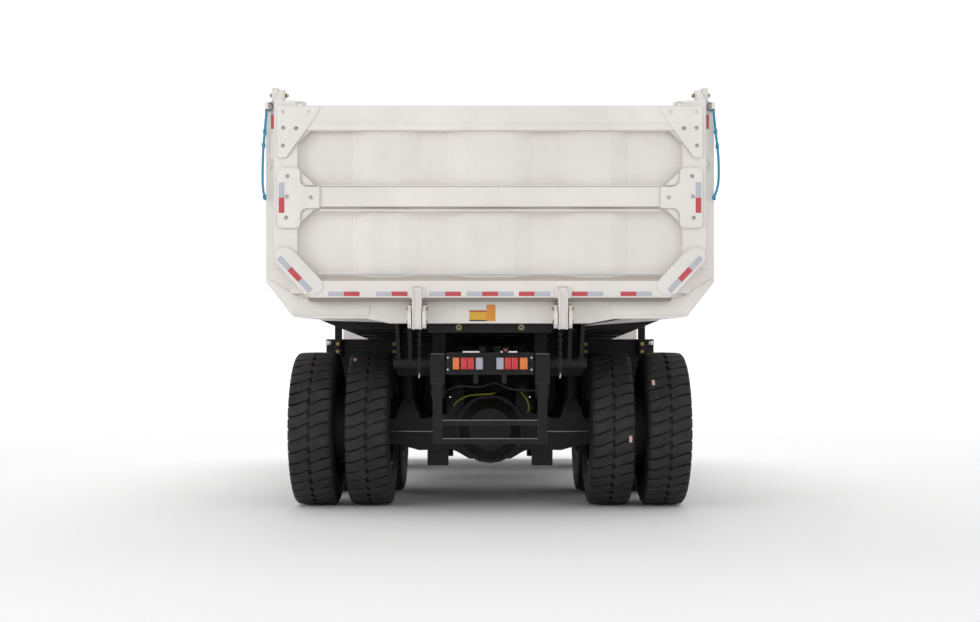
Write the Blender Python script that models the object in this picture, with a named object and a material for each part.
"""Wide-body mining dump truck: chassis, tandem dual wheels, offset cab, front hoist,
tipping bed and top-hung tailgate.

+Y is the front of the truck, +X its right-hand side, +Z up.  The origin is on the
ground under the middle of the truck.  All sizes are in metres.
"""
import math

import bmesh
import bpy
from mathutils import Matrix, Vector

for leftover in list(bpy.data.objects):
    bpy.data.objects.remove(leftover, do_unlink=True)

# ------------------------------------------------------------------ fits
GAP = 0.0003          # between pieces that are bolted or seated together
PIN_GAP = 0.0005      # between a pin, or a sliding face, and its seat
RUN = 0.006           # between pieces that pass each other

# ------------------------------------------------------------------ overall
OVERALL_WIDTH = 4.00
FRONT_END = 4.77

# ------------------------------------------------------------------ tyres, rims and axles
TYRE_RADIUS = 0.745
TYRE_WIDTH = 0.43
TREAD_WIDTH = 0.37
TYRE_SIDES = 24
RIM_RADIUS = 0.34
RIM_WIDTH = 0.38
RIM_WALL = 0.022
SPINDLE_RADIUS = 0.12
DUAL_SPACING = 0.53
DUAL_CENTRE = 1.415
REAR_AXLE_Y = -3.40
TANDEM_SPACING = 1.70
MID_AXLE_Y = REAR_AXLE_Y + TANDEM_SPACING
FRONT_AXLE_Y = 2.60
FRONT_WHEEL_X = 1.55
KINGPIN_X = 1.22
KINGPIN_RADIUS = 0.075
AXLE_HEIGHT = TYRE_RADIUS
BEAM_HALF_LENGTH = 0.985
BEAM_LOW = 0.58
BEAM_TOP = 0.845
BEAM_HALF_DEPTH = 0.13
BANJO_RADIUS = 0.333
STRUT_X = 0.80
STRUT_RADIUS = 0.08
STRUT_PIN_Z = 0.967
FRONT_STRUT_X = 0.70
LOWER_ROD_X = 0.51
LOWER_ROD_Z = 0.445
HANGER_HALF = 0.08
STEER_ARM = 0.30
STEER_ARM_Z = 0.60
TIE_ROD_RADIUS = 0.03
KNUCKLE_EYE = 0.09
KNUCKLE_ARM = 0.07
KNUCKLE_PLATE_X = 0.085

# ------------------------------------------------------------------ frame
RAIL_X = 0.48
RAIL_WIDTH = 0.12
RAIL_LOW = 1.05
RAIL_TOP = 1.40
RAIL_REAR = -4.22
RAIL_FRONT = 4.40
CROSS_DEPTH = 0.10
OUTRIGGER_LOW = 1.26
OUTRIGGER_END = 0.90

# ------------------------------------------------------------------ bed and its pivot
PIVOT_Y = -4.15
PIVOT_Z = 1.373
PIVOT_RADIUS = 0.062
PIVOT_SHAFT = 0.045
PIVOT_HALF_LENGTH = 0.89
SLEEVE = (0.68, 0.885)
LUG_X = (0.73, 0.84)
LUG_THICK = 0.033
BED_REAR = -4.55
RING_DEPTH = 0.12
BED_FRONT = 1.35
WALL_REAR = BED_FRONT + GAP
WALL_FRONT = WALL_REAR + 0.10
WALL_REACH = OVERALL_WIDTH / 2 - 0.02
STIFFENER_X = (0.60, 1.25)
BED_INNER_X = 1.85
BED_OUTER_X = 1.93
SIDE_TOP = 3.70
SIDE_JOIN_Z = 2.20
FLOOR_TOP = 1.95
FLOOR_LOW = 1.86
FLOOR_FLAT_X = 1.62
RIB_LOW = 1.76
SILL_X = RAIL_X
SILL_WIDTH = 0.12
PAD_THICK = 0.02
RIB_SPACING = 0.72
RIB_WIDTH = 0.12
RING_OUTER = [(1.57, RIB_LOW), (1.763, 1.783), (OVERALL_WIDTH / 2, 2.087)]
RING_DIP = 1.72
CANOPY_REAR_Z = 3.86
CANOPY_FRONT_Z = 4.02
CANOPY_THICK = 0.06
CANOPY_BEAM = 0.14
CANOPY_FRONT_Y = 4.30

# ------------------------------------------------------------------ tailgate
GATE_HALF_WIDTH = 1.906
GATE_TOP = 3.649
GATE_LOW = 1.944
GATE_FRONT = BED_REAR - RUN
GATE_SKIN = 0.05
GATE_DEPTH = 0.15
GATE_PIVOT_Y = -4.45
GATE_PIVOT_Z = 3.774
GATE_ARM_X = 1.868
GATE_ARM_THICK = 0.052
POST_X = 1.9275
POST_THICK = 0.057
BOLT_RADIUS = 0.016
LATCH_X = 0.643
LATCH_WIDTH = 0.086
LATCH_LOW = 1.66
CHEEK_THICK = 0.031

# ------------------------------------------------------------------ rear guard and lights
GUARD_Y = -4.29
GUARD_X = 0.48
GUARD_PLATE = 0.13
GUARD_POST = 0.085
LIGHT_HALF_WIDTH = 0.40
LIGHT_LOW = 1.263
LIGHT_TOP = 1.464

# ------------------------------------------------------------------ hoist
HOIST_Y = 2.00
HOIST_BASE_Z = 0.85
HOIST_EYE_Z = 2.97
HOIST_WALL = 0.019
HOIST_CLEAR = 0.0008
HOIST_RADIUS = 0.150
HOIST_TOP = 2.66
HOIST_COLLAR = 0.05
HOIST_EAR_X = HOIST_RADIUS + 0.03
HOIST_LUG_X = 0.115
HOIST_BOSS = 0.09

# ------------------------------------------------------------------ cab, deck and nose
DECK_LOW = 1.72
DECK_TOP = 1.80
DECK_REAR = 2.22
DECK_FRONT = 4.70
DECK_HALF_WIDTH = 1.90
CAB_LEFT = -1.62
CAB_RIGHT = -0.28
CAB_REAR = 2.60
CAB_FRONT = 4.35
CAB_ROOF = 3.62
CAB_WALL = 0.06
CAB_WAIST = 2.72
SCREEN_TOP_Y = 4.18
WINDOW_TOP = 3.48
GLASS_THICK = 0.012
WINDOW_LOW = CAB_WAIST + 0.06
PANE_INSET = 0.5 * (CAB_WALL - GLASS_THICK)
SIDE_WINDOW = (CAB_REAR + 0.18, CAB_FRONT - 0.42)
REAR_WINDOW = (CAB_LEFT + 0.16, CAB_RIGHT - 0.16)
SCREEN = (CAB_LEFT + 0.09, CAB_RIGHT - 0.09)
DOOR_REAR = 2.85
DOOR_FRONT = 3.85
DOOR_LOW = 1.93
DOOR_TOP = 3.52
DOOR_AXIS_X = -1.645
DOOR_AXIS_Y = 3.872
HINGE_RADIUS = 0.02
HINGE_HEIGHTS = (2.20, 3.25)
RAIL_TUBE = 0.021
RAIL_HEIGHT = 1.00
BUMPER_FRONT = 4.72
BUMPER_REAR = 4.50
BUMPER_LOW = 0.62
BUMPER_HALF_WIDTH = 1.90
TANK_REAR = -0.45
TANK_FRONT = 1.20
TANK_LOW = 0.72
TANK_TOP = 1.36
TANK_OUTER = 1.42

# ------------------------------------------------------------------ ropes on the rear posts
ROPE_Y = -4.60
ROPE_RADIUS = 0.011
ROPE_ROUTES = {
    "left": [(-1.990, 3.6187), (-1.990, 3.570), (-1.996, 3.500), (-2.003, 3.417), (-2.008, 3.360),
             (-2.013, 3.300), (-2.017, 3.240), (-2.019, 3.176), (-2.021, 3.100), (-2.022, 3.020),
             (-2.021, 2.950), (-2.015, 2.890), (-2.004, 2.836)],
    "right": [(1.990, 3.6187), (1.990, 3.570), (1.998, 3.500), (2.006, 3.417), (2.014, 3.350),
              (2.021, 3.290), (2.027, 3.230), (2.032, 3.170), (2.034, 3.100), (2.034, 3.020),
              (2.028, 2.950), (2.014, 2.890), (1.992, 2.836)],
}


# ------------------------------------------------------------------ materials
def material(name, colour, roughness, metallic):
    made = bpy.data.materials.new(name)
    made.use_nodes = True
    shader = made.node_tree.nodes["Principled BSDF"]
    shader.inputs["Base Color"].default_value = (*colour, 1.0)
    shader.inputs["Roughness"].default_value = roughness
    shader.inputs["Metallic"].default_value = metallic
    return made


WHITE = material("white_paint", (0.80, 0.78, 0.75), 0.45, 0.0)
BLACK = material("black_paint", (0.020, 0.020, 0.021), 0.50, 0.0)
RUBBER = material("tyre_rubber", (0.022, 0.020, 0.019), 0.85, 0.0)
STEEL = material("rim_steel", (0.030, 0.030, 0.032), 0.50, 0.3)
CHROME = material("hard_chrome", (0.60, 0.60, 0.60), 0.15, 1.0)
GLASS = material("cab_glass", (0.35, 0.42, 0.42), 0.05, 0.0)
TRIM = material("cab_trim", (0.05, 0.05, 0.055), 0.70, 0.0)
CLOTH = material("seat_cloth", (0.06, 0.06, 0.07), 0.90, 0.0)
CAST = material("cast_iron", (0.07, 0.07, 0.07), 0.60, 0.5)
ROPE = material("blue_rope", (0.01, 0.28, 0.42), 0.80, 0.0)
BOARD = material("mudguard_board", (0.025, 0.025, 0.025), 0.80, 0.0)


# ------------------------------------------------------------------ shapes
def box(xs, ys, zs):
    """A block between two values along each axis."""
    shape = bmesh.new()
    bmesh.ops.create_cube(shape, size=1.0)
    low = [min(pair) for pair in (xs, ys, zs)]
    high = [max(pair) for pair in (xs, ys, zs)]
    size = [b - a for a, b in zip(low, high)]
    middle = [(a + b) / 2 for a, b in zip(low, high)]
    bmesh.ops.scale(shape, vec=size, verts=shape.verts)
    bmesh.ops.translate(shape, vec=middle, verts=shape.verts)
    return shape


def prism(outline, axis, start, end):
    """An outline of two coordinates, extruded along X, Y or Z."""
    order = {"X": (2, 0, 1), "Y": (0, 2, 1), "Z": (0, 1, 2)}[axis]
    shape = bmesh.new()
    rim = []
    for point in outline:
        values = (point[0], point[1], start)
        rim.append(shape.verts.new([values[place] for place in order]))
    face = shape.faces.new(rim)
    pushed = bmesh.ops.extrude_face_region(shape, geom=[face])["geom"]
    shift = Vector([(0.0, 0.0, end - start)[place] for place in order])
    moved = [item for item in pushed if isinstance(item, bmesh.types.BMVert)]
    bmesh.ops.translate(shape, vec=shift, verts=moved)
    bmesh.ops.recalc_face_normals(shape, faces=shape.faces)
    return shape


def mirrored(outline):
    """The outline's right half, given from the middle outwards, and its left half."""
    return list(outline) + [(-x, z) for x, z in reversed(outline)]


def rod(start, end, radius, sides=16, end_radius=None):
    """A round bar from one point to another, its corners on the radius."""
    start = Vector(start)
    run = Vector(end) - start
    shape = bmesh.new()
    top = radius if end_radius is None else end_radius
    bmesh.ops.create_cone(shape, cap_ends=True, segments=sides, radius1=radius,
                          radius2=top, depth=run.length)
    turn = Vector((0, 0, 1)).rotation_difference(run).to_matrix().to_4x4()
    place = Matrix.Translation(start + run / 2) @ turn
    bmesh.ops.transform(shape, matrix=place, verts=shape.verts)
    return shape


def turned(profile, centre, sides=TYRE_SIDES, outward=1):
    """A closed profile of (x, radius) points spun about an axle along X.

    The flats touch the given radii, and one flat faces straight down.
    """
    shape = bmesh.new()
    grow = 1 / math.cos(math.pi / sides)
    corners = [shape.verts.new((x * outward, 0, -radius * grow)) for x, radius in profile]
    edges = []
    for first, second in zip(corners, corners[1:] + corners[:1]):
        if abs(first.co.z) > 1e-9 or abs(second.co.z) > 1e-9:
            edges.append(shape.edges.new((first, second)))
    bmesh.ops.rotate(shape, cent=(0, 0, 0), matrix=Matrix.Rotation(math.pi / sides, 3, "X"),
                     verts=shape.verts)
    bmesh.ops.spin(shape, geom=corners + edges, cent=(0, 0, 0), axis=(1, 0, 0),
                   angle=2 * math.pi, steps=sides, use_merge=True)
    bmesh.ops.remove_doubles(shape, verts=shape.verts, dist=1e-5)
    bmesh.ops.recalc_face_normals(shape, faces=shape.faces)
    bmesh.ops.translate(shape, vec=centre, verts=shape.verts)
    return shape


def guide(shape, holder):
    """A temporary solid for a Boolean, out of sight."""
    mesh = bpy.data.meshes.new("guide")
    shape.to_mesh(mesh)
    shape.free()
    item = bpy.data.objects.new("guide", mesh)
    item.hide_render = True
    item.display_type = "WIRE"
    holder.objects.link(item)
    return item


def welded(solids, cuts=()):
    """One mesh from solids that are welded together, with the cutters taken away."""
    holder = bpy.context.scene.collection
    base = guide(solids[0], holder)
    groups = []
    for operation, shapes in (("UNION", solids[1:]), ("DIFFERENCE", cuts)):
        if not shapes:
            continue
        group = bpy.data.collections.new(operation)
        holder.children.link(group)
        for shape in shapes:
            guide(shape, group)
        step = base.modifiers.new(operation, "BOOLEAN")
        step.operation = operation
        step.operand_type = "COLLECTION"
        step.collection = group
        step.solver = "EXACT"
        groups.append(group)
    graph = bpy.context.evaluated_depsgraph_get()
    mesh = bpy.data.meshes.new_from_object(base.evaluated_get(graph))
    bpy.data.objects.remove(base, do_unlink=True)
    for group in groups:
        for item in list(group.objects):
            bpy.data.objects.remove(item, do_unlink=True)
        bpy.data.collections.remove(group)
    cleaned = bmesh.new()
    cleaned.from_mesh(mesh)
    bmesh.ops.remove_doubles(cleaned, verts=cleaned.verts, dist=2e-6)
    cleaned.to_mesh(mesh)
    cleaned.free()
    return mesh


def body(name, location, parent=None):
    """An empty on a joint's axis, which carries one moving body."""
    empty = bpy.data.objects.new(name, None)
    bpy.context.scene.collection.objects.link(empty)
    empty.location = Vector(location) - (Vector(world[parent]) if parent else Vector())
    if parent:
        empty.parent = carriers[parent]
    carriers[name] = empty
    world[name] = tuple(location)


def node(name, mesh, look, carrier="chassis", smooth=None):
    """One named sub-part, drawn in the world's frame and hung on its body."""
    mesh.name = name
    place = Vector(world[carrier])
    mesh.transform(Matrix.Translation(-place))
    mesh.materials.clear()
    mesh.materials.append(look)
    if smooth:
        mesh.shade_smooth()
        mesh.set_sharp_from_angle(angle=math.radians(smooth))
    item = bpy.data.objects.new(name, mesh)
    item.parent = carriers[carrier]
    bpy.context.scene.collection.objects.link(item)
    return item


carriers = {}
world = {}
SIDES = (("left", -1), ("right", 1))


# ------------------------------------------------------------------ bodies on their joint axes
BED_PIVOT = (0, PIVOT_Y, PIVOT_Z)
GATE_PIVOT = (0, GATE_PIVOT_Y, GATE_PIVOT_Z)
HOIST_PIVOT = (0, HOIST_Y, HOIST_BASE_Z)
DOOR_PIVOT = (DOOR_AXIS_X, DOOR_AXIS_Y, DOOR_LOW)
TIE_ROD_PIVOT = (-KINGPIN_X, FRONT_AXLE_Y - STEER_ARM, STEER_ARM_Z)

body("chassis", (0, 0, 0))
body("dump_body", BED_PIVOT, "chassis")
body("tailgate_body", GATE_PIVOT, "dump_body")
body("hoist_base", HOIST_PIVOT, "chassis")
body("hoist_first", HOIST_PIVOT, "hoist_base")
body("hoist_second", HOIST_PIVOT, "hoist_first")
body("hoist_third", HOIST_PIVOT, "hoist_second")
body("door_body", DOOR_PIVOT, "chassis")
for side, sign in SIDES:
    body("knuckle_body_" + side, (sign * KINGPIN_X, FRONT_AXLE_Y, AXLE_HEIGHT), "chassis")
    body("front_wheel_" + side, (sign * FRONT_WHEEL_X, FRONT_AXLE_Y, AXLE_HEIGHT),
         "knuckle_body_" + side)
    body("mid_wheel_" + side, (sign * DUAL_CENTRE, MID_AXLE_Y, AXLE_HEIGHT), "chassis")
    body("rear_wheel_" + side, (sign * DUAL_CENTRE, REAR_AXLE_Y, AXLE_HEIGHT), "chassis")
body("tie_rod_body", TIE_ROD_PIVOT, "knuckle_body_left")


# ------------------------------------------------------------------ frame
def rail_span(sign):
    """The two faces of one side rail."""
    return (sign * (RAIL_X - RAIL_WIDTH / 2), sign * (RAIL_X + RAIL_WIDTH / 2))


def frame():
    """Two side rails, their crossmembers, the outriggers and the bed's pivot tube."""
    solids = []
    rail_outer = RAIL_X + RAIL_WIDTH / 2
    for side, sign in SIDES:
        solids.append(box(rail_span(sign), (RAIL_REAR, RAIL_FRONT), (RAIL_LOW, RAIL_TOP)))
        for strut_y in (REAR_AXLE_Y, MID_AXLE_Y):
            solids.append(box((sign * RAIL_X, sign * OUTRIGGER_END),
                              (strut_y - 0.14, strut_y + 0.14), (OUTRIGGER_LOW, RAIL_TOP - 0.02)))
        solids.append(box((sign * RAIL_X, sign * (FRONT_STRUT_X + STRUT_RADIUS + 0.02)),
                          (FRONT_AXLE_Y - 0.12, FRONT_AXLE_Y + 0.12),
                          (OUTRIGGER_LOW, RAIL_TOP - 0.02)))
        hanger_y = (REAR_AXLE_Y + MID_AXLE_Y) / 2
        hanger = [(hanger_y - 0.30, RAIL_LOW + 0.02), (hanger_y - HANGER_HALF, LOWER_ROD_Z + 0.08),
                  (hanger_y - HANGER_HALF, LOWER_ROD_Z - 0.08),
                  (hanger_y + HANGER_HALF, LOWER_ROD_Z - 0.08),
                  (hanger_y + HANGER_HALF, LOWER_ROD_Z + 0.08), (hanger_y + 0.30, RAIL_LOW + 0.02)]
        solids.append(prism(hanger, "X", sign * (LOWER_ROD_X - 0.05), sign * (LOWER_ROD_X + 0.02)))
        solids.append(box(rail_span(sign), (RAIL_FRONT - 0.20, RAIL_FRONT - 0.02),
                          (BUMPER_LOW + 0.08, RAIL_LOW + 0.02)))
        solids.append(box(rail_span(sign), (RAIL_FRONT - 0.15, BUMPER_REAR - GAP),
                          (BUMPER_LOW + 0.08, BUMPER_LOW + 0.34)))
    cross_low, cross_top = RAIL_LOW + 0.05, RAIL_TOP - 0.04
    hoist_cross = (HOIST_Y - 0.45 - CROSS_DEPTH, HOIST_Y + 0.25)
    solids.append(box((-RAIL_X, RAIL_X), (RAIL_REAR, RAIL_REAR + CROSS_DEPTH),
                      (LIGHT_LOW + 0.01, cross_top)))
    for cross_y in (-2.60, -0.80, 0.50, *hoist_cross, 4.10):
        solids.append(box((-RAIL_X, RAIL_X), (cross_y, cross_y + CROSS_DEPTH),
                          (cross_low, cross_top)))
    for half, radius in ((SLEEVE[0] - RUN, PIVOT_RADIUS), (PIVOT_HALF_LENGTH, PIVOT_SHAFT)):
        solids.append(rod((-half, PIVOT_Y, PIVOT_Z), (half, PIVOT_Y, PIVOT_Z), radius))
    for sign in (-1, 1):
        solids.append(box((sign * HOIST_EAR_X, sign * (HOIST_EAR_X + 0.035)),
                          (HOIST_Y - 0.28, HOIST_Y + 0.28), (HOIST_BASE_Z - 0.09, RAIL_LOW + 0.15)))
    node("frame", welded(solids), BLACK)


def strut(x, y, low, top, radius):
    """A suspension cylinder standing on an axle, with its wider upper barrel."""
    middle = low + 0.45 * (top - low)
    return [rod((x, y, low), (x, y, top - 0.03), radius * 0.72, 10),
            rod((x, y, middle), (x, y, top), radius, 12)]


def driven_axle(name, y):
    """A drive axle: banjo housing, square beam, spindles, strut brackets and link brackets."""
    solids = []
    top = AXLE_HEIGHT + BANJO_RADIUS
    solids.append(rod((0, y - 0.20, AXLE_HEIGHT), (0, y + 0.24, AXLE_HEIGHT), BANJO_RADIUS, 20))
    solids.append(rod((0, y - 0.30, AXLE_HEIGHT), (0, y - 0.19, AXLE_HEIGHT), 0.20, 20,
                      BANJO_RADIUS - 0.02))
    solids.append(rod((0, y + 0.23, AXLE_HEIGHT), (0, y + 0.42, AXLE_HEIGHT), 0.19, 12, 0.12))
    beam = [(0.26, top - 0.10), (0.40, BEAM_TOP + 0.05), (0.62, BEAM_TOP), (BEAM_HALF_LENGTH, BEAM_TOP),
            (BEAM_HALF_LENGTH, BEAM_LOW + 0.02), (0.85, BEAM_LOW), (0.69, BEAM_LOW - 0.045),
            (0.375, 0.545), (0.31, 0.516), (0.20, 0.452)]
    solids.append(prism(mirrored(beam), "Y", y - BEAM_HALF_DEPTH, y + BEAM_HALF_DEPTH))
    reach = DUAL_CENTRE + 0.04
    solids.append(rod((-reach, y, AXLE_HEIGHT), (reach, y, AXLE_HEIGHT), SPINDLE_RADIUS))
    for sign in (-1, 1):
        bracket = [(STRUT_X - 0.13, BEAM_TOP - 0.02), (STRUT_X + 0.12, BEAM_TOP - 0.02),
                   (STRUT_X + 0.05, STRUT_PIN_Z + 0.06), (STRUT_X - 0.05, STRUT_PIN_Z + 0.06)]
        outline = [(sign * x, z) for x, z in bracket]
        solids.append(prism(outline, "Y", y - 0.15, y - 0.11))
        solids.append(prism(outline, "Y", y + 0.11, y + 0.15))
        solids.append(rod((sign * STRUT_X, y - 0.17, STRUT_PIN_Z),
                          (sign * STRUT_X, y + 0.17, STRUT_PIN_Z), 0.042, 8))
        solids.extend(strut(sign * STRUT_X, y, BEAM_TOP - 0.02, OUTRIGGER_LOW - GAP, STRUT_RADIUS))
        solids.append(box((sign * (LOWER_ROD_X - 0.10), sign * (LOWER_ROD_X + 0.10)),
                          (y - 0.10, y + 0.10), (LOWER_ROD_Z - 0.06, BEAM_LOW + 0.03)))
        hanger_y = (REAR_AXLE_Y + MID_AXLE_Y) / 2
        toward = 1 if y < hanger_y else -1
        shrink = HANGER_HALF + GAP
        solids.append(rod((sign * LOWER_ROD_X, y, LOWER_ROD_Z),
                          (sign * LOWER_ROD_X, hanger_y - toward * shrink, LOWER_ROD_Z), 0.035, 8))
    node(name, welded(solids), BLACK, smooth=35)


def front_axle():
    """The steered axle: a drop-forged beam with a kingpin boss at each end and two struts."""
    y = FRONT_AXLE_Y
    solids = []
    half = [(0.60, AXLE_HEIGHT + 0.02), (KINGPIN_X, AXLE_HEIGHT + 0.07),
            (KINGPIN_X, AXLE_HEIGHT - 0.07), (0.60, AXLE_HEIGHT - 0.15)]
    solids.append(prism(mirrored(half), "Y", y - 0.07, y + 0.07))
    for sign in (-1, 1):
        x = sign * KINGPIN_X
        solids.append(rod((x, y, AXLE_HEIGHT - KNUCKLE_EYE), (x, y, AXLE_HEIGHT + KNUCKLE_EYE),
                          KINGPIN_RADIUS))
        seat = sign * FRONT_STRUT_X
        solids.append(box((seat - 0.11, seat + 0.11), (y - 0.12, y + 0.12),
                          (AXLE_HEIGHT - 0.06, AXLE_HEIGHT + 0.10)))
        solids.extend(strut(seat, y, AXLE_HEIGHT + 0.08, OUTRIGGER_LOW - GAP, STRUT_RADIUS))
    node("front_axle", welded(solids), BLACK, smooth=35)


def knuckle(side, sign):
    """A steering knuckle: a fork over the kingpin boss, a plate, the spindle and its arm."""
    x, y = sign * KINGPIN_X, FRONT_AXLE_Y
    plate_inner = x + sign * KNUCKLE_PLATE_X
    plate_outer = plate_inner + sign * 0.04
    solids = []
    low = AXLE_HEIGHT - KNUCKLE_EYE - PIN_GAP
    high = AXLE_HEIGHT + KNUCKLE_EYE + PIN_GAP
    for start, end in ((low - KNUCKLE_ARM, low), (high, high + KNUCKLE_ARM)):
        solids.append(rod((x, y, start), (x, y, end), KINGPIN_RADIUS + 0.01))
        solids.append(box((x, plate_outer), (y - 0.07, y + 0.07), (start, end)))
    solids.append(box((plate_inner, plate_outer), (y - 0.085, y + 0.085),
                      (low - KNUCKLE_ARM + 0.004, high + KNUCKLE_ARM - 0.004)))
    tip = sign * (FRONT_WHEEL_X + 0.02)
    solids.append(rod((plate_inner + sign * 0.01, y, AXLE_HEIGHT), (tip, y, AXLE_HEIGHT),
                      SPINDLE_RADIUS / 2 + 0.015))
    arm_top = low - 0.015
    solids.append(box((x - 0.04, x + 0.04), (y - STEER_ARM - 0.05, y),
                      (arm_top - 0.035, arm_top)))
    node("knuckle_" + side, welded(solids), CAST, "knuckle_body_" + side, smooth=35)


def tie_rod():
    """The track rod under the two steering arms, parallel to the axle in every position."""
    y = FRONT_AXLE_Y - STEER_ARM
    arm_low = AXLE_HEIGHT - KNUCKLE_EYE - PIN_GAP - 0.05
    top = arm_low - PIN_GAP
    middle = top - 0.04
    solids = [rod((-KINGPIN_X, y, middle), (KINGPIN_X, y, middle), TIE_ROD_RADIUS, 12)]
    for sign in (-1, 1):
        solids.append(rod((sign * KINGPIN_X, y, middle - 0.04), (sign * KINGPIN_X, y, top), 0.045, 12))
    node("tie_rod", welded(solids), CAST, "tie_rod_body", smooth=35)


# ------------------------------------------------------------------ wheels
def tyre_profile():
    half = TYRE_WIDTH / 2
    right = [(RIM_WIDTH / 2 - 0.04, RIM_RADIUS), (half, TYRE_RADIUS * 0.70),
             (half - 0.012, TYRE_RADIUS * 0.945), (TREAD_WIDTH / 2, TYRE_RADIUS)]
    return right + [(-x, radius) for x, radius in reversed(right)]


def tyre(name, x, y, carrier):
    mesh = welded([turned(tyre_profile(), (x, y, AXLE_HEIGHT))])
    node(name, mesh, RUBBER, carrier, smooth=35)


def dual_wheel(axle_name, y, side, sign):
    """Two rims back to back on one hub, with a planetary reduction outside, and two tyres."""
    carrier = "{}_wheel_{}".format(axle_name, side)
    seat = RIM_RADIUS - GAP
    reach = DUAL_SPACING / 2 + RIM_WIDTH / 2
    inner = seat - RIM_WALL
    disc = 0.03
    profile = [(-reach, seat), (reach, seat), (reach, inner), (disc * 2, inner), (disc * 2, 0.235),
               (0.29, 0.235), (0.40, 0.15), (0.40, 0.0), (0.08, 0.0),
               (0.08, SPINDLE_RADIUS + PIN_GAP), (-0.40, SPINDLE_RADIUS + PIN_GAP), (-0.40, 0.27),
               (-0.10, inner), (-reach, inner)]
    mesh = welded([turned(profile, (sign * DUAL_CENTRE, y, AXLE_HEIGHT), outward=sign)])
    node("{}_wheel_hub_{}".format(axle_name, side), mesh, STEEL, carrier, smooth=35)
    for place, offset in (("inner", -DUAL_SPACING / 2), ("outer", DUAL_SPACING / 2)):
        name = "{}_tyre_{}_{}".format(axle_name, place, side)
        tyre(name, sign * (DUAL_CENTRE + offset), y, carrier)


def front_wheel(side, sign):
    """A single rim with its hub and brake drum, and its tyre."""
    carrier = "front_wheel_" + side
    seat = RIM_RADIUS - GAP
    reach = RIM_WIDTH / 2
    inner = seat - RIM_WALL
    bore = SPINDLE_RADIUS / 2 + 0.015 + PIN_GAP
    profile = [(-reach, seat), (reach, seat), (reach, inner), (0.09, inner), (0.06, 0.23),
               (0.06, 0.15), (0.16, 0.13), (0.16, 0.0), (0.04, 0.0), (0.04, bore), (-0.13, bore),
               (-0.13, 0.26), (0.0, inner), (-reach, inner)]
    mesh = welded([turned(profile, (sign * FRONT_WHEEL_X, FRONT_AXLE_Y, AXLE_HEIGHT),
                          outward=sign)])
    node("front_wheel_hub_" + side, mesh, STEEL, carrier, smooth=35)
    tyre("front_tyre_" + side, sign * FRONT_WHEEL_X, FRONT_AXLE_Y, carrier)


# ------------------------------------------------------------------ rear guard and light panel
def rear_guard():
    """Two plates on the rail ends, two posts and two cross bars behind the axle."""
    solids = []
    for sign in (-1, 1):
        solids.append(box((sign * (GUARD_X - GUARD_PLATE / 2), sign * (GUARD_X + GUARD_PLATE / 2)),
                          (GUARD_Y, RAIL_REAR - GAP), (1.181, 1.45)))
        solids.append(box((sign * (GUARD_X - GUARD_POST / 2), sign * (GUARD_X + GUARD_POST / 2)),
                          (GUARD_Y + 0.002, RAIL_REAR - 0.002), (0.63, 1.20)))
    for bar_z in (0.652, 0.820):
        solids.append(box((-GUARD_X, GUARD_X), (GUARD_Y + 0.006, GUARD_Y + 0.056),
                          (bar_z - 0.023, bar_z + 0.023)))
    node("rear_guard", welded(solids), BLACK)


def light_panel():
    """The plate that holds the rear lamps, on two brackets from the rear crossmember."""
    solids = [box((-LIGHT_HALF_WIDTH, LIGHT_HALF_WIDTH), (GUARD_Y, GUARD_Y + 0.022),
                  (LIGHT_LOW, LIGHT_TOP))]
    for sign in (-1, 1):
        solids.append(box((sign * 0.11, sign * 0.15), (GUARD_Y + 0.01, RAIL_REAR - GAP),
                          (LIGHT_LOW - 0.08, LIGHT_LOW + 0.06)))
    node("light_panel", welded(solids), BLACK)


# ------------------------------------------------------------------ nose, deck and tanks
def bumper():
    """The front bumper with its lamp housings and the two boarding ladders."""
    solids = [box((-BUMPER_HALF_WIDTH, BUMPER_HALF_WIDTH), (BUMPER_REAR, BUMPER_FRONT),
                  (BUMPER_LOW, 0.98))]
    inset = 0.004
    for sign in (-1, 1):
        outline = [(sign * 0.70, 0.96), (sign * 0.78, 1.34), (sign * (BUMPER_HALF_WIDTH - inset), 1.34),
                   (sign * (BUMPER_HALF_WIDTH - inset), 0.96)]
        solids.append(prism(outline, "Y", BUMPER_REAR + inset, BUMPER_FRONT - inset))
        for x in (1.27, 1.73):
            solids.append(box((sign * (x - 0.02), sign * (x + 0.02)),
                              (BUMPER_FRONT - 0.01, FRONT_END), (0.45, DECK_LOW - 0.02)))
        for step in range(5):
            rung = 0.47 + 0.28 * step
            solids.append(box((sign * 1.27, sign * 1.73), (BUMPER_FRONT + 0.01, FRONT_END - 0.01),
                              (rung, rung + 0.03)))
        solids.append(box((sign * 1.27, sign * 1.73), (DECK_FRONT - 0.20, BUMPER_FRONT + 0.04),
                          (DECK_LOW - 0.05, DECK_LOW - GAP)))
        solids.append(box((sign * 1.25, sign * 1.75), (BUMPER_FRONT - 0.03, BUMPER_FRONT + 0.03),
                          (1.30, DECK_LOW - 0.03)))
    node("front_bumper", welded(solids), BLACK)


def radiator():
    """The radiator in its shroud, in front of the rail ends."""
    solids = [box((-0.62, 0.62), (RAIL_FRONT + GAP, RAIL_FRONT + 0.14), (0.985, 1.70)),
              box((-0.56, 0.56), (RAIL_FRONT + 0.12, RAIL_FRONT + 0.19), (1.04, 1.66))]
    node("radiator", welded(solids), CAST)


def engine():
    """The engine as one block on its four feet, between the rails."""
    inner = RAIL_X - RAIL_WIDTH / 2 - GAP
    solids = [box((-0.33, 0.33), (2.85, 4.05), (0.98, 1.62))]
    for foot_y in (2.95, 3.80):
        solids.append(box((-inner, inner), (foot_y, foot_y + 0.12), (1.16, 1.30)))
    node("engine", welded(solids), CAST)


def tube(points, radius=RAIL_TUBE):
    """Straight tubes from point to point."""
    return [rod(first, second, radius, 8) for first, second in zip(points, points[1:])]


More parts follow.
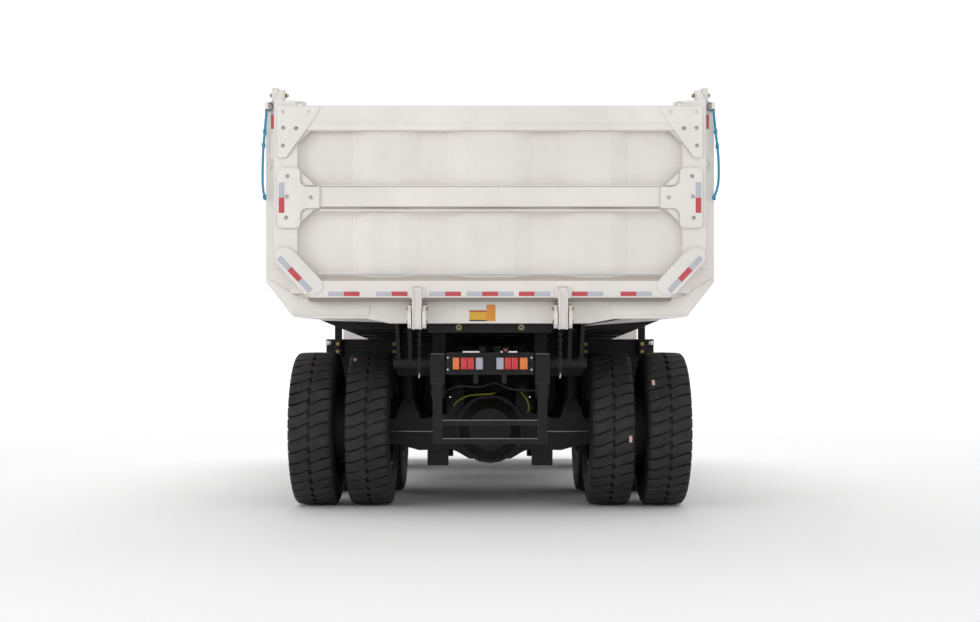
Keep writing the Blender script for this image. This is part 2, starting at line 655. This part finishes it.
def deck():
    """The platform over the front wheels, its legs, side skirts and mudguards."""
    solids = [box((-DECK_HALF_WIDTH, DECK_HALF_WIDTH), (DECK_REAR, DECK_FRONT),
                  (DECK_LOW, DECK_TOP))]
    for sign in (-1, 1):
        for leg_y in (DECK_REAR + 0.05, 3.10, 4.10):
            solids.append(box((sign * (RAIL_X - 0.05), sign * (RAIL_X + 0.05)),
                              (leg_y, leg_y + 0.20), (RAIL_TOP + GAP, DECK_LOW + 0.02)))
        solids.append(box((sign * (DECK_HALF_WIDTH - 0.04), sign * DECK_HALF_WIDTH),
                          (DECK_REAR, DECK_FRONT), (DECK_LOW - 0.14, DECK_LOW + 0.02)))
        front_flap = FRONT_AXLE_Y + TYRE_RADIUS + 0.30
        solids.append(box((sign * 0.98, sign * DECK_HALF_WIDTH), (front_flap, front_flap + 0.03),
                          (1.05, DECK_LOW + 0.02)))
        rear_flap = [(DECK_REAR, DECK_TOP - 0.005), (DECK_REAR + 0.05, DECK_LOW + 0.005),
                     (1.66, 1.20), (1.66, 0.95), (1.62, 0.95), (1.62, 1.22)]
        solids.append(prism(rear_flap, "X", sign * 0.98, sign * DECK_HALF_WIDTH))
    node("deck", welded(solids), BLACK)


def handrails():
    """One tube rail along the deck's right side and front, with a mirror on each corner post."""
    top = DECK_TOP + RAIL_HEIGHT
    edge = DECK_HALF_WIDTH - 0.04
    corner = (DECK_HALF_WIDTH - 0.10, DECK_FRONT - 0.05)
    solids = []
    for sign in (-1, 1):
        x, y = sign * corner[0], corner[1]
        solids.extend(tube([(x, y, DECK_TOP + GAP), (x, y, top + 0.30)]))
        solids.append(box((x - 0.13, x + 0.13), (y - 0.04, y + 0.03), (top - 0.20, top + 0.24)))
    posts = [(edge, DECK_REAR + 0.06), (edge, 3.40), (edge, 4.30), (-0.90, corner[1]), (0.10, corner[1]),
             (1.00, corner[1])]
    for x, y in posts:
        solids.extend(tube([(x, y, DECK_TOP + GAP), (x, y, top)]))
    for height in (top - 0.01, DECK_TOP + RAIL_HEIGHT / 2):
        solids.extend(tube([(edge, DECK_REAR + 0.06, height), (edge, 4.30, height)], RAIL_TUBE * 0.95))
        solids.extend(tube([(edge, 4.30, height), (*corner, height)], RAIL_TUBE * 0.95))
        solids.extend(tube([(-corner[0], corner[1], height), (*corner, height)], RAIL_TUBE * 0.95))
    node("handrails", welded(solids), BLACK)


def engine_hood():
    """The white hood over the engine's cooling and air intake, right of the cab."""
    outline = [(2.45, DECK_TOP + GAP), (4.50, DECK_TOP + GAP), (4.50, 2.30), (4.36, 2.42),
               (2.60, 2.42), (2.45, 2.30)]
    node("engine_hood", welded([prism(outline, "X", -0.20, 1.02)]), WHITE)


def air_cleaner():
    """A round air filter housing lying on two saddles on the right-hand deck."""
    x, z, radius = 1.45, 2.12, 0.21
    solids = [rod((x, 2.62, z), (x, 3.38, z), radius, 20),
              rod((x, 3.37, z), (x, 3.44, z), radius, 20, radius - 0.04),
              rod((x, 2.48, z), (x, 2.63, z), 0.10, 14),
              box((1.021, x - 0.05), (2.78, 2.98), (z - 0.08, z + 0.08))]
    for saddle in (2.72, 3.20):
        solids.append(box((x - 0.17, x + 0.17), (saddle, saddle + 0.06), (DECK_TOP + GAP, z - 0.05)))
    node("air_cleaner", welded(solids), BLACK, smooth=35)


def tank(name, sign, rear, front):
    """A chassis tank with rounded corners, on the outside of a rail."""
    inner = RAIL_X + RAIL_WIDTH / 2 + GAP
    round_off = 0.10
    outline = [(inner, TANK_LOW)]
    for middle, start in (((TANK_OUTER - round_off, TANK_LOW + round_off), -90),
                          ((TANK_OUTER - round_off, TANK_TOP - round_off), 0)):
        for step in range(4):
            angle = math.radians(start + 30 * step)
            outline.append((middle[0] + round_off * math.cos(angle),
                            middle[1] + round_off * math.sin(angle)))
    outline.append((inner, TANK_TOP))
    outline = [(sign * x, z) for x, z in outline]
    solids = [prism(outline, "Y", rear, front)]
    fill_x = sign * (TANK_OUTER - 0.25)
    solids.append(rod((fill_x, front - 0.25, TANK_TOP - 0.02), (fill_x, front - 0.25, TANK_TOP + 0.06),
                      0.07, 12))
    node(name, welded(solids), BLACK, smooth=35)


# ------------------------------------------------------------------ bed
def bed_section():
    """The trough's inner line from the middle out, and its outer line back."""
    inner = [(FLOOR_FLAT_X, FLOOR_TOP), (BED_INNER_X, SIDE_JOIN_Z - GAP)]
    outer = [(BED_OUTER_X, SIDE_JOIN_Z - GAP), (BED_OUTER_X, SIDE_JOIN_Z - 0.09),
             (FLOOR_FLAT_X + 0.03, FLOOR_LOW)]
    return inner + outer


def bed_floor():
    """The floor trough with its ribs, sills, rear ring, pivot lugs and latch cheeks."""
    solids = [prism(mirrored(bed_section()), "Y", BED_REAR + RING_DEPTH - 0.01, BED_FRONT)]
    ring = ([(0.90, RING_DIP), (1.11, RIB_LOW)] + RING_OUTER
            + [(OVERALL_WIDTH / 2, SIDE_JOIN_Z - GAP), (BED_INNER_X, SIDE_JOIN_Z - GAP),
               (FLOOR_FLAT_X, FLOOR_TOP)])
    solids.append(prism(mirrored(ring), "Y", BED_REAR, BED_REAR + RING_DEPTH))
    rib_y = BED_REAR + RIB_SPACING
    rib = [(1.40, RIB_LOW - 0.06), (1.60, RIB_LOW + 0.02), (BED_OUTER_X + 0.03, SIDE_JOIN_Z - 0.12),
           (BED_OUTER_X + 0.03, SIDE_JOIN_Z - GAP), (BED_INNER_X + 0.01, SIDE_JOIN_Z - GAP),
           (FLOOR_FLAT_X, FLOOR_TOP - 0.02)]
    while rib_y < BED_FRONT - RIB_WIDTH:
        solids.append(prism(mirrored(rib), "Y", rib_y, rib_y + RIB_WIDTH))
        rib_y += RIB_SPACING
    for sign in (-1, 1):
        solids.append(box((sign * (SILL_X - SILL_WIDTH / 2), sign * (SILL_X + SILL_WIDTH / 2)),
                          (PIVOT_Y + 0.22, BED_FRONT - 0.05), (RAIL_TOP + GAP + PAD_THICK,
                                                              FLOOR_LOW + 0.01)))
        for pad_y in (-3.60, -2.10, -0.60, 0.90):
            solids.append(box((sign * (SILL_X - 0.05), sign * (SILL_X + 0.05)),
                              (pad_y, pad_y + 0.22), (RAIL_TOP + GAP, RAIL_TOP + PAD_THICK + 0.01)))
        for x in LUG_X:
            lug = [(PIVOT_Y - 0.32, RIB_LOW + 0.02), (PIVOT_Y - 0.05, PIVOT_Z),
                   (PIVOT_Y + 0.05, PIVOT_Z), (PIVOT_Y + 0.36, RIB_LOW + 0.02)]
            solids.append(prism(lug, "X", sign * (x - LUG_THICK / 2), sign * (x + LUG_THICK / 2)))
        solids.append(rod((sign * SLEEVE[0], PIVOT_Y, PIVOT_Z), (sign * SLEEVE[1], PIVOT_Y, PIVOT_Z),
                          PIVOT_RADIUS))
        lug_beam = (sign * (LUG_X[0] - 0.05), sign * (LUG_X[1] + 0.05))
        solids.append(box(lug_beam, (BED_REAR + 0.05, PIVOT_Y + 0.60), (RIB_LOW, FLOOR_LOW + 0.02)))
        for edge in (LATCH_X - LATCH_WIDTH / 2 - RUN - CHEEK_THICK, LATCH_X + LATCH_WIDTH / 2 + RUN):
            cheek = [(BED_REAR + 0.02, RIB_LOW + 0.13), (BED_REAR - 0.16, RIB_LOW + 0.11),
                     (BED_REAR - 0.22, 1.80), (BED_REAR - 0.22, LATCH_LOW + 0.04),
                     (BED_REAR - 0.18, LATCH_LOW + 0.007), (BED_REAR - 0.12, LATCH_LOW + 0.007),
                     (BED_REAR + 0.02, RIB_LOW)]
            solids.append(prism(cheek, "X", sign * edge, sign * (edge + CHEEK_THICK)))
    grow = 1 / math.cos(math.pi / 16)
    bores = [rod((-PIVOT_HALF_LENGTH - 0.1, PIVOT_Y, PIVOT_Z),
                 (PIVOT_HALF_LENGTH + 0.1, PIVOT_Y, PIVOT_Z), (PIVOT_SHAFT + PIN_GAP) * grow)]
    node("bed_floor", welded(solids, bores), WHITE, "dump_body")


def bed_side(side, sign):
    """One side wall: skin, top and bottom rails, stakes, rear post and hinge post."""
    inner, outer = sign * BED_INNER_X, sign * BED_OUTER_X
    edge = sign * OVERALL_WIDTH / 2
    solids = [box((inner, outer), (BED_REAR + 0.01, BED_FRONT), (SIDE_JOIN_Z, SIDE_TOP - 0.01))]
    rear = (BED_REAR, BED_REAR + RING_DEPTH)
    solids.append(box((sign * (BED_INNER_X + 0.04), edge), rear, (SIDE_JOIN_Z, SIDE_TOP - 0.02)))
    solids.append(box((inner - sign * 0.02, edge), (BED_REAR + RING_DEPTH - 0.01, BED_FRONT),
                      (SIDE_TOP - 0.12, SIDE_TOP)))
    solids.append(box((outer - sign * 0.01, edge - sign * 0.02), (BED_REAR + 0.02, BED_FRONT),
                      (SIDE_JOIN_Z, SIDE_JOIN_Z + 0.10)))
    stake_y = BED_REAR + RIB_SPACING
    while stake_y < BED_FRONT - RIB_WIDTH:
        solids.append(box((outer - sign * 0.01, edge - sign * 0.015), (stake_y, stake_y + RIB_WIDTH),
                          (SIDE_JOIN_Z + 0.05, SIDE_TOP - 0.06)))
        stake_y += RIB_SPACING
    post = (sign * (POST_X - POST_THICK / 2), sign * (POST_X + POST_THICK / 2))
    blade = [(GATE_PIVOT_Y - 0.07, SIDE_TOP - 0.10), (GATE_PIVOT_Y - 0.055, GATE_PIVOT_Z + 0.04),
             (GATE_PIVOT_Y - 0.03, GATE_PIVOT_Z + 0.06), (GATE_PIVOT_Y + 0.03, GATE_PIVOT_Z + 0.06),
             (GATE_PIVOT_Y + 0.06, GATE_PIVOT_Z + 0.03), (GATE_PIVOT_Y + 0.16, SIDE_TOP - 0.10)]
    solids.append(prism(blade, "X", *post))
    bolt_end = sign * (GATE_ARM_X - GATE_ARM_THICK / 2 - 0.03)
    solids.append(rod((sign * (POST_X + 0.055), GATE_PIVOT_Y, GATE_PIVOT_Z),
                      (bolt_end, GATE_PIVOT_Y, GATE_PIVOT_Z), BOLT_RADIUS, 12))
    eye_x, eye_z = sign * (OVERALL_WIDTH / 2 - 0.016), SIDE_TOP - 0.051
    solids.append(box((eye_x - 0.014, eye_x + 0.014), (ROPE_Y - 0.012, BED_REAR + 0.01),
                      (eye_z - 0.03, eye_z + 0.03)))
    node("bed_side_" + side, welded(solids), WHITE, "dump_body")


def bed_front_wall():
    """The front wall with its two stiffeners and the bracket for the hoist's rod eye."""
    solids = [box((-WALL_REACH, WALL_REACH), (WALL_REAR, WALL_FRONT), (RIB_LOW, CANOPY_REAR_Z - GAP))]
    for sign in (-1, 1):
        for x in STIFFENER_X:
            solids.append(box((sign * (x - 0.06), sign * (x + 0.06)), (WALL_FRONT - 0.01, WALL_FRONT + 0.07),
                              (RIB_LOW, CANOPY_REAR_Z - CANOPY_BEAM - GAP)))
        ear = [(WALL_FRONT - 0.01, HOIST_EYE_Z - 0.30), (HOIST_Y + 0.10, HOIST_EYE_Z - 0.11),
               (HOIST_Y + 0.10, HOIST_EYE_Z + 0.10), (WALL_FRONT - 0.01, HOIST_EYE_Z + 0.26)]
        solids.append(prism(ear, "X", sign * HOIST_LUG_X, sign * (HOIST_LUG_X + 0.035)))
    node("bed_front_wall", welded(solids), WHITE, "dump_body")


def canopy():
    """The plate over the cab, on the front wall's top, with its beams, flanges and lip."""
    plate = [(WALL_REAR, CANOPY_REAR_Z), (WALL_REAR, CANOPY_REAR_Z + CANOPY_THICK),
             (CANOPY_FRONT_Y, CANOPY_FRONT_Z + CANOPY_THICK), (CANOPY_FRONT_Y, CANOPY_FRONT_Z)]
    solids = [prism(plate, "X", -WALL_REACH + 0.002, WALL_REACH - 0.002)]
    foot = WALL_FRONT + GAP
    flange = [(foot, CANOPY_REAR_Z - 0.08), (foot, CANOPY_REAR_Z + CANOPY_THICK + 0.04),
              (CANOPY_FRONT_Y, CANOPY_FRONT_Z + CANOPY_THICK + 0.04),
              (CANOPY_FRONT_Y, CANOPY_FRONT_Z - 0.04)]
    beam = [(foot, CANOPY_REAR_Z - CANOPY_BEAM), (foot, CANOPY_REAR_Z + 0.02),
            (CANOPY_FRONT_Y, CANOPY_FRONT_Z + 0.02), (CANOPY_FRONT_Y, CANOPY_FRONT_Z - 0.02)]
    for sign in (-1, 1):
        solids.append(prism(flange, "X", sign * (WALL_REACH - 0.04), sign * WALL_REACH))
        for x in STIFFENER_X:
            solids.append(prism(beam, "X", sign * (x - 0.05), sign * (x + 0.05)))
    lip = [(CANOPY_FRONT_Y - 0.05, CANOPY_FRONT_Z - 0.06), (CANOPY_FRONT_Y, CANOPY_FRONT_Z - 0.06),
           (CANOPY_FRONT_Y, CANOPY_FRONT_Z + 0.10), (CANOPY_FRONT_Y - 0.05, CANOPY_FRONT_Z + 0.10)]
    solids.append(prism(lip, "X", -WALL_REACH + 0.002, WALL_REACH - 0.002))
    node("canopy", welded(solids), WHITE, "dump_body")


def mudguard_board(side, sign):
    """A flat board between the tandem wheels, hung from the bed on two struts."""
    y = (REAR_AXLE_Y + MID_AXLE_Y) / 2 + 0.04
    solids = [box((sign * 0.57, sign * 1.72), (y, y + 0.025), (1.45, 1.652))]
    solids.append(box((sign * 0.96, sign * 1.72), (y + 0.001, y + 0.024), (1.30, 1.46)))
    for x in (1.00, 1.59):
        solids.append(box((sign * (x - 0.035), sign * (x + 0.035)), (y - 0.045, y + 0.01),
                          (1.47, FLOOR_LOW - GAP)))
    node("mudguard_board_" + side, welded(solids), BOARD, "dump_body")


# ------------------------------------------------------------------ ropes
def smooth_route(points, spacing):
    """Points along a Catmull-Rom curve through a route, about one spacing apart."""
    route = [Vector(point) for point in points]
    route = [2 * route[0] - route[1]] + route + [2 * route[-1] - route[-2]]
    fine = []
    for a, b, c, d in zip(route, route[1:], route[2:], route[3:]):
        steps = max(1, round((c - b).length / spacing))
        for step in range(steps):
            t = step / steps
            fine.append(0.5 * (2 * b + (c - a) * t + (2 * a - 5 * b + 4 * c - d) * t ** 2
                               + (3 * b - a - 3 * c + d) * t ** 3))
    return fine + [route[-2]]


def rope(side):
    """A limp rope that hangs from the eye on the bed's rear post."""
    points = smooth_route([(x, ROPE_Y, z) for x, z in ROPE_ROUTES[side]], 2.6 * ROPE_RADIUS * 2)
    curve = bpy.data.curves.new("rope_" + side, "CURVE")
    curve.dimensions = "3D"
    curve.bevel_depth = ROPE_RADIUS
    curve.bevel_resolution = 2
    curve.use_fill_caps = True
    line = curve.splines.new("POLY")
    line.points.add(len(points) - 1)
    pivot = Vector(BED_PIVOT)
    for spot, point in zip(line.points, points):
        spot.co = (*(point - pivot), 1.0)
    curve.materials.append(ROPE)
    item = bpy.data.objects.new("rope_" + side, curve)
    item.parent = carriers["dump_body"]
    bpy.context.scene.collection.objects.link(item)


# ------------------------------------------------------------------ tailgate
def folded_panel(low, top):
    """A sheet with shallow vertical folds between two beams of the gate."""
    face = GATE_FRONT - GATE_SKIN
    fold = 0.045
    half = []
    edges = (0.0, 0.21, 0.38, 0.62, 0.80, 1.07, 1.22, 1.70)
    depths = (0.0, 0.0, fold, fold, 0.0, 0.0, fold, fold)
    for x, depth in zip(edges, depths):
        half.append((x, face - fold + depth))
    rear = half + [(1.78, face)]
    outline = ([(-x, y) for x, y in reversed(rear)] + rear[1:]
               + [(1.78, GATE_FRONT), (-1.78, GATE_FRONT)])
    return prism(outline, "Z", low, top)


def tailgate():
    """The tailgate: two folded panels in a frame of box beams, gussets, latch arms and arms."""
    rear = GATE_FRONT - GATE_DEPTH
    skin = GATE_FRONT - 0.02
    outline = [(GATE_HALF_WIDTH, GATE_TOP), (GATE_HALF_WIDTH, 2.235), (1.62, GATE_LOW)]
    solids = [prism(mirrored(outline)[::-1], "Y", skin, GATE_FRONT)]
    solids.append(folded_panel(1.98, GATE_TOP - 0.02))
    beams = ((GATE_TOP - 0.195, GATE_TOP, rear), (2.72, 2.935, rear + 0.01), (GATE_LOW, 2.165, rear))
    for low, top, back in beams:
        half = GATE_HALF_WIDTH - 0.08 if low > 2.2 else 1.60
        beam = [(skin, low), (back, low + 0.02), (back, top - 0.02), (skin, top)]
        if low < 2.2:
            beam = [(skin, low), (back, low), (back, low + 0.14), (skin, top)]
        solids.append(prism(beam, "X", -half, half))
    for sign in (-1, 1):
        stile = [(sign * 1.70, GATE_TOP), (sign * GATE_HALF_WIDTH, GATE_TOP),
                 (sign * GATE_HALF_WIDTH, 2.235), (sign * 1.62, GATE_LOW), (sign * 1.50, GATE_LOW),
                 (sign * 1.50, 2.06), (sign * 1.70, 2.26)]
        solids.append(prism(stile, "Y", rear + 0.015, skin + 0.005))
        arm_x = (sign * (GATE_ARM_X - GATE_ARM_THICK / 2), sign * (GATE_ARM_X + GATE_ARM_THICK / 2))
        arm = [(rear + 0.02, GATE_TOP - 0.02), (rear + 0.02, GATE_TOP + 0.04),
               (GATE_PIVOT_Y - 0.03, GATE_PIVOT_Z + 0.045), (GATE_PIVOT_Y + 0.03, GATE_PIVOT_Z + 0.045),
               (GATE_PIVOT_Y + 0.045, GATE_PIVOT_Z), (GATE_PIVOT_Y + 0.03, GATE_PIVOT_Z - 0.045),
               (BED_REAR - RUN - 0.01, GATE_PIVOT_Z - 0.06), (BED_REAR - RUN - 0.01, GATE_TOP - 0.02)]
        solids.append(prism(arm, "X", *arm_x))
        solids.append(box((sign * 1.72, sign * GATE_HALF_WIDTH), (rear + 0.02, GATE_FRONT),
                          (GATE_TOP - 0.01, GATE_TOP + 0.03)))
        half = LATCH_WIDTH / 2
        latch = [(rear + 0.01, 2.04), (rear - 0.03, 2.02), (rear - 0.04, 1.70), (rear - 0.02, LATCH_LOW),
                 (rear + 0.04, LATCH_LOW), (rear + 0.05, 1.72), (rear + 0.05, GATE_LOW + 0.01),
                 (rear + 0.06, 2.04)]
        solids.append(prism(latch, "X", sign * (LATCH_X - half), sign * (LATCH_X + half)))
    grow = 1 / math.cos(math.pi / 16)
    bores = [rod((sign * 1.80, GATE_PIVOT_Y, GATE_PIVOT_Z), (sign * 1.95, GATE_PIVOT_Y, GATE_PIVOT_Z),
                 (BOLT_RADIUS + PIN_GAP) * grow) for sign in (-1, 1)]
    node("tailgate", welded(solids, bores), WHITE, "tailgate_body")


# ------------------------------------------------------------------ hoist
def hoist():
    """A telescopic cylinder: a barrel on its trunnion and three stages inside one another."""
    y, base, top = HOIST_Y, HOIST_BASE_Z, HOIST_TOP
    radius = HOIST_RADIUS
    floor = base + 0.10
    barrel = [rod((0, y, base + 0.02), (0, y, top), radius),
              rod((0, y, base), (0, y, base + 0.05), HOIST_BOSS),
              rod((-HOIST_EAR_X + PIN_GAP, y, base), (HOIST_EAR_X - PIN_GAP, y, base), 0.055)]
    bore = radius - HOIST_WALL
    node("hoist_barrel", welded(barrel, [rod((0, y, floor), (0, y, top + 0.1), bore)]),
         BLACK, "hoist_base", smooth=35)
    for order, name in enumerate(("first", "second", "third")):
        outer = bore - HOIST_CLEAR
        low = floor + 0.02 * (order + 1)
        high = top + HOIST_COLLAR * (order + 1)
        if name != "third":
            bore = outer - HOIST_WALL
            cut = [rod((0, y, low + 0.015), (0, y, high + 0.1), bore)]
            stage = [rod((0, y, low), (0, y, high), outer)]
        else:
            cut = [rod((-0.2, y, HOIST_EYE_Z), (0.2, y, HOIST_EYE_Z), 0.038)]
            stage = [rod((0, y, low), (0, y, HOIST_EYE_Z - 0.03), outer),
                     rod((-HOIST_LUG_X + 0.012, y, HOIST_EYE_Z), (HOIST_LUG_X - 0.012, y, HOIST_EYE_Z),
                         0.085)]
        node("hoist_stage_" + name, welded(stage, cut), CHROME, "hoist_" + name, smooth=35)


# ------------------------------------------------------------------ cab
def screen_y(z):
    """The front face of the cab at a height: upright to the waist, then leaning back."""
    lean = (CAB_FRONT - SCREEN_TOP_Y) / (CAB_ROOF - CAB_WAIST)
    return CAB_FRONT - max(0.0, z - CAB_WAIST) * lean


def cab_outline(inset):
    low, top = DECK_TOP + GAP + inset, CAB_ROOF - inset
    return [(CAB_REAR + inset, low), (CAB_FRONT - inset, low), (CAB_FRONT - inset, CAB_WAIST),
            (screen_y(top) - inset, top), (CAB_REAR + inset, top)]


def cab():
    """The cab's hollow shell with a door opening, three window openings and its panes."""
    cuts = [prism(cab_outline(CAB_WALL), "X", CAB_LEFT + CAB_WALL, CAB_RIGHT - CAB_WALL),
            box((CAB_LEFT - 0.1, CAB_LEFT + CAB_WALL + 0.01), (DOOR_REAR, DOOR_FRONT),
                (DOOR_LOW, DOOR_TOP)),
            box((CAB_RIGHT - CAB_WALL - 0.01, CAB_RIGHT + 0.1), SIDE_WINDOW, (WINDOW_LOW, WINDOW_TOP)),
            box(REAR_WINDOW, (CAB_REAR - 0.1, CAB_REAR + CAB_WALL + 0.01), (WINDOW_LOW, WINDOW_TOP)),
            box(SCREEN, (screen_y(WINDOW_TOP) - 0.2, CAB_FRONT + 0.2), (WINDOW_LOW, WINDOW_TOP))]
    solids = [prism(cab_outline(0.0), "X", CAB_LEFT, CAB_RIGHT)]
    for hinge_z in HINGE_HEIGHTS:
        solids.append(rod((DOOR_AXIS_X, DOOR_AXIS_Y, hinge_z - 0.06),
                          (DOOR_AXIS_X, DOOR_AXIS_Y, hinge_z), HINGE_RADIUS, 12))
        solids.append(box((DOOR_AXIS_X + 0.003, CAB_LEFT + 0.01),
                          (DOOR_AXIS_Y - 0.01, DOOR_AXIS_Y + 0.06), (hinge_z - 0.06, hinge_z)))
    node("cab_shell", welded(solids, cuts), WHITE)
    mid = (CAB_RIGHT - PANE_INSET - GLASS_THICK, CAB_RIGHT - PANE_INSET)
    pane = [box(mid, fitted(SIDE_WINDOW), fitted((WINDOW_LOW, WINDOW_TOP)))]
    node("cab_side_glass", welded(pane), GLASS)
    mid = (CAB_REAR + PANE_INSET, CAB_REAR + PANE_INSET + GLASS_THICK)
    node("cab_rear_glass", welded([box(fitted(REAR_WINDOW), mid, fitted((WINDOW_LOW, WINDOW_TOP)))]),
         GLASS)
    low, top = fitted((WINDOW_LOW, WINDOW_TOP))
    pane = [(screen_y(low) - PANE_INSET, low), (screen_y(low) - PANE_INSET - GLASS_THICK, low),
            (screen_y(top) - PANE_INSET - GLASS_THICK, top), (screen_y(top) - PANE_INSET, top)]
    node("windscreen", welded([prism(pane, "X", *fitted(SCREEN))]), GLASS)


def fitted(span):
    """The span of a piece that fits in an opening with the usual gap at each end."""
    return (span[0] + GAP, span[1] - GAP)


def cab_door():
    """The door in its opening, with a window, two hinge barrels and a handle."""
    rear, front = DOOR_REAR + RUN, DOOR_FRONT - RUN
    low, top = DOOR_LOW + RUN, DOOR_TOP - RUN
    window = ((rear + 0.10, front - 0.10), (WINDOW_LOW - 0.10, WINDOW_TOP - 0.04))
    solids = [box((CAB_LEFT, CAB_LEFT + CAB_WALL), (rear, front), (low, top))]
    for hinge_z in HINGE_HEIGHTS:
        start = hinge_z + PIN_GAP
        solids.append(rod((DOOR_AXIS_X, DOOR_AXIS_Y, start), (DOOR_AXIS_X, DOOR_AXIS_Y, start + 0.06),
                          HINGE_RADIUS, 12))
        solids.append(box((DOOR_AXIS_X - 0.012, DOOR_AXIS_X + 0.012), (front - 0.07, DOOR_AXIS_Y),
                          (start, start + 0.06)))
        solids.append(box((DOOR_AXIS_X - 0.01, CAB_LEFT + 0.01), (front - 0.07, front - 0.02),
                          (start, start + 0.06)))
    solids.append(box((CAB_LEFT - 0.03, CAB_LEFT - 0.012), (rear + 0.06, rear + 0.22), (2.52, 2.56)))
    for foot in (rear + 0.06, rear + 0.19):
        solids.append(box((CAB_LEFT - 0.025, CAB_LEFT + 0.005), (foot, foot + 0.03), (2.525, 2.555)))
    cut = [box((CAB_LEFT - 0.1, CAB_LEFT + CAB_WALL + 0.1), *window)]
    node("cab_door", welded(solids, cut), WHITE, "door_body")
    mid = (CAB_LEFT + PANE_INSET, CAB_LEFT + PANE_INSET + GLASS_THICK)
    node("door_glass", welded([box(mid, fitted(window[0]), fitted(window[1]))]), GLASS, "door_body")


def cab_fittings():
    """The driver's seat, and the dashboard with its steering column and wheel."""
    floor = DECK_TOP + CAB_WALL + 2 * GAP
    x = (CAB_LEFT + CAB_RIGHT) / 2
    seat = [box((x - 0.18, x + 0.18), (3.02, 3.38), (floor, floor + 0.36)),
            box((x - 0.25, x + 0.25), (2.94, 3.46), (floor + 0.35, floor + 0.50)),
            prism([(2.94, floor + 0.45), (3.06, floor + 0.45), (2.96, floor + 1.10),
                   (2.85, floor + 1.10)], "X", x - 0.24, x + 0.24),
            prism([(2.88, floor + 1.09), (2.95, floor + 1.09), (2.93, floor + 1.30),
                   (2.86, floor + 1.30)], "X", x - 0.13, x + 0.13)]
    node("driver_seat", welded(seat), CLOTH)
    inner = CAB_FRONT - CAB_WALL - GAP
    dash = [box((CAB_LEFT + CAB_WALL + GAP, CAB_RIGHT - CAB_WALL - GAP), (inner - 0.24, inner),
                (2.35, 2.68)),
            rod((x, inner - 0.12, 2.40), (x, inner - 0.46, 2.66), 0.035, 10)]
    rim = bmesh.new()
    ring = []
    for spoke in range(8):
        angle = math.radians(45 * spoke)
        ring.append(rim.verts.new((0.205 + 0.016 * math.cos(angle), 0, 0.016 * math.sin(angle))))
    edges = [rim.edges.new(pair) for pair in zip(ring, ring[1:] + ring[:1])]
    bmesh.ops.spin(rim, geom=ring + edges, cent=(0, 0, 0), axis=(0, 0, 1), angle=2 * math.pi, steps=20,
                   use_merge=True)
    bmesh.ops.remove_doubles(rim, verts=rim.verts, dist=1e-5)
    bmesh.ops.recalc_face_normals(rim, faces=rim.faces)
    tilt = Matrix.Translation((x, inner - 0.46, 2.66)) @ Matrix.Rotation(math.radians(52.6), 4, "X")
    bmesh.ops.transform(rim, matrix=tilt, verts=rim.verts)
    dash.append(rim)
    across = tilt @ Vector((0.205, 0, 0)), tilt @ Vector((-0.205, 0, 0))
    dash.append(rod(*across, 0.014, 8))
    dash.append(rod(tilt @ Vector((0, 0, 0)), tilt @ Vector((0, -0.205, 0)), 0.014, 8))
    node("dashboard", welded(dash), TRIM, smooth=35)


# ------------------------------------------------------------------ assembly
frame()
driven_axle("rear_axle", REAR_AXLE_Y)
driven_axle("mid_axle", MID_AXLE_Y)
front_axle()
tie_rod()
for side, sign in SIDES:
    knuckle(side, sign)
    front_wheel(side, sign)
    dual_wheel("mid", MID_AXLE_Y, side, sign)
    dual_wheel("rear", REAR_AXLE_Y, side, sign)
    bed_side(side, sign)
    mudguard_board(side, sign)
    rope(side)
rear_guard()
light_panel()
bumper()
radiator()
engine()
deck()
handrails()
engine_hood()
air_cleaner()
tank("fuel_tank", -1, TANK_REAR, TANK_FRONT)
tank("hydraulic_tank", 1, TANK_REAR + 0.50, TANK_FRONT)
bed_floor()
bed_front_wall()
canopy()
tailgate()
hoist()
cab()
cab_door()
cab_fittings()
